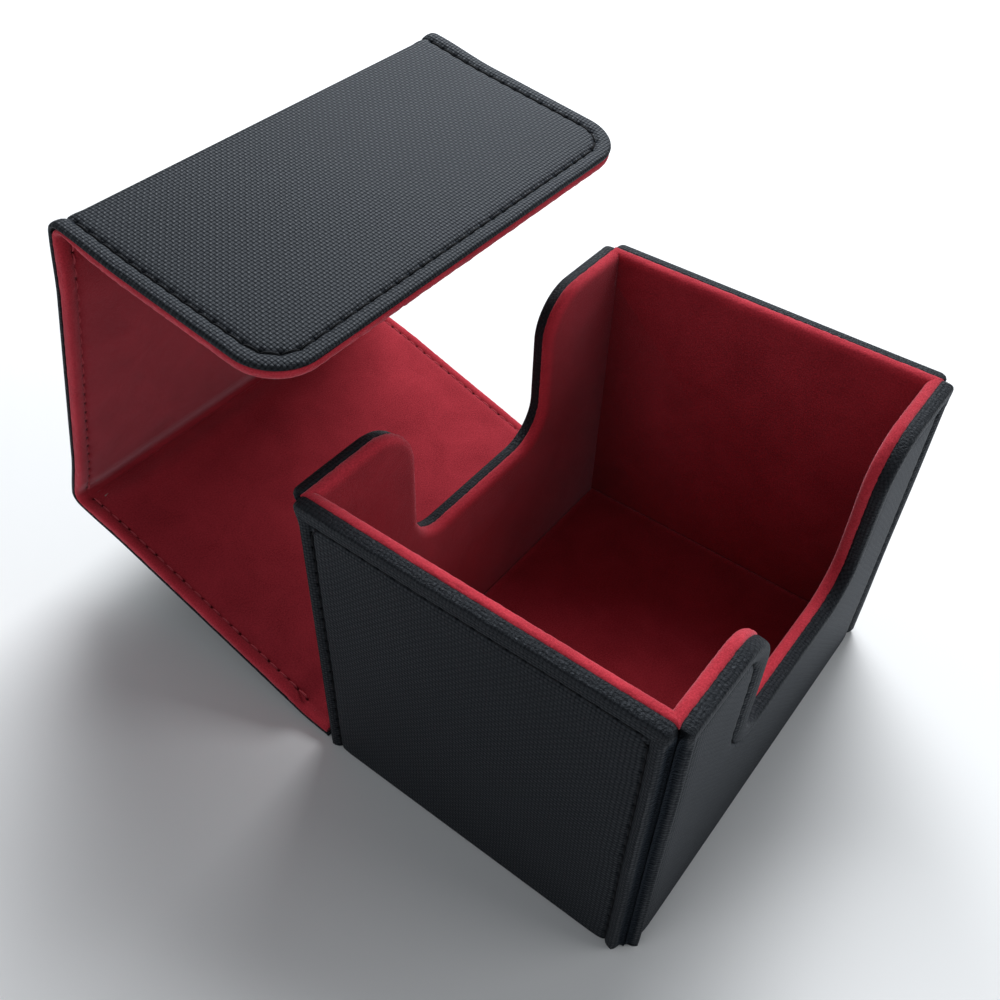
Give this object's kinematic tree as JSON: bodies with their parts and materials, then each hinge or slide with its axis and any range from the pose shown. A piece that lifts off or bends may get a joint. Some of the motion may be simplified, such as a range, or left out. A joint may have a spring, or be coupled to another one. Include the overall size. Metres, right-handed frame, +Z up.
{
  "type": "trading card case",
  "caption": "Side-loading trading card case: a lined, leather-wrapped tray with thumb notches and a folding cover that wraps over it and closes on hidden magnets.",
  "frame": {"origin": "middle of the tray's underside, on the surface that the case stands on", "axes": "+Z up, +X along the tray's width, the long way of the cards; the front wall, which the flap closes over, faces -Y, and the cover's hinge is along the tray's back edge at +Y"},
  "size_m": [0.104, 0.1587, 0.1092],
  "materials": {
    "black_leather": "satin",
    "red_lining": "matte",
    "grey_board": "matte",
    "black_thread": "matte",
    "magnet": "satin"
  },
  "bodies": {
    "tray": {"base_leather": "black_leather", "floor_board": "grey_board", "floor_liner": "red_lining", "wall_magnets": "magnet", "front_wall_board": "grey_board", "front_leather": "black_leather", "front_stitching": "black_thread", "front_liner": "red_lining", "right_wall_board": "grey_board", "right_leather": "black_leather", "right_stitching": "black_thread", "right_liner": "red_lining", "back_wall_board": "grey_board", "back_leather": "black_leather", "back_stitching": "black_thread", "back_liner": "red_lining", "left_wall_board": "grey_board", "left_leather": "black_leather", "left_stitching": "black_thread", "left_liner": "red_lining"},
    "hinge_strip": {"hinge_leather": "black_leather", "hinge_lining": "red_lining"},
    "back_cover": {"back_cover_leather": "black_leather", "back_cover_board": "grey_board", "back_cover_stitching": "black_thread", "back_cover_lining": "red_lining"},
    "top_cover": {"top_cover_leather": "black_leather", "top_cover_board": "grey_board", "top_cover_stitching": "black_thread", "top_cover_lining": "red_lining"},
    "front_flap": {"flap_leather": "black_leather", "flap_board": "grey_board", "flap_stitching": "black_thread", "flap_lining": "red_lining", "flap_magnets": "magnet"}
  },
  "joints": [
    {"name": "strip_crease", "type": "hinge", "parent": "tray", "child": "hinge_strip", "pos_m": [0, 0.0403, 0.0005], "axis": [1, 0, 0], "range_deg": [-7.5, 37.5]},
    {"name": "back_crease", "type": "hinge", "parent": "hinge_strip", "child": "back_cover", "pos_m": [0, 0.04585, 0.00123], "axis": [1, 0, 0], "range_deg": [-10.5, 34.5]},
    {"name": "top_fold", "type": "hinge", "parent": "back_cover", "child": "top_cover", "pos_m": [0, 0.11874, 0.02491], "axis": [1, 0, 0], "range_deg": [-90, 0]},
    {"name": "flap_fold", "type": "hinge", "parent": "top_cover", "child": "front_flap", "pos_m": [0, 0.0915, 0.10876], "axis": [1, 0, 0], "range_deg": [-81, 9]}
  ]
}
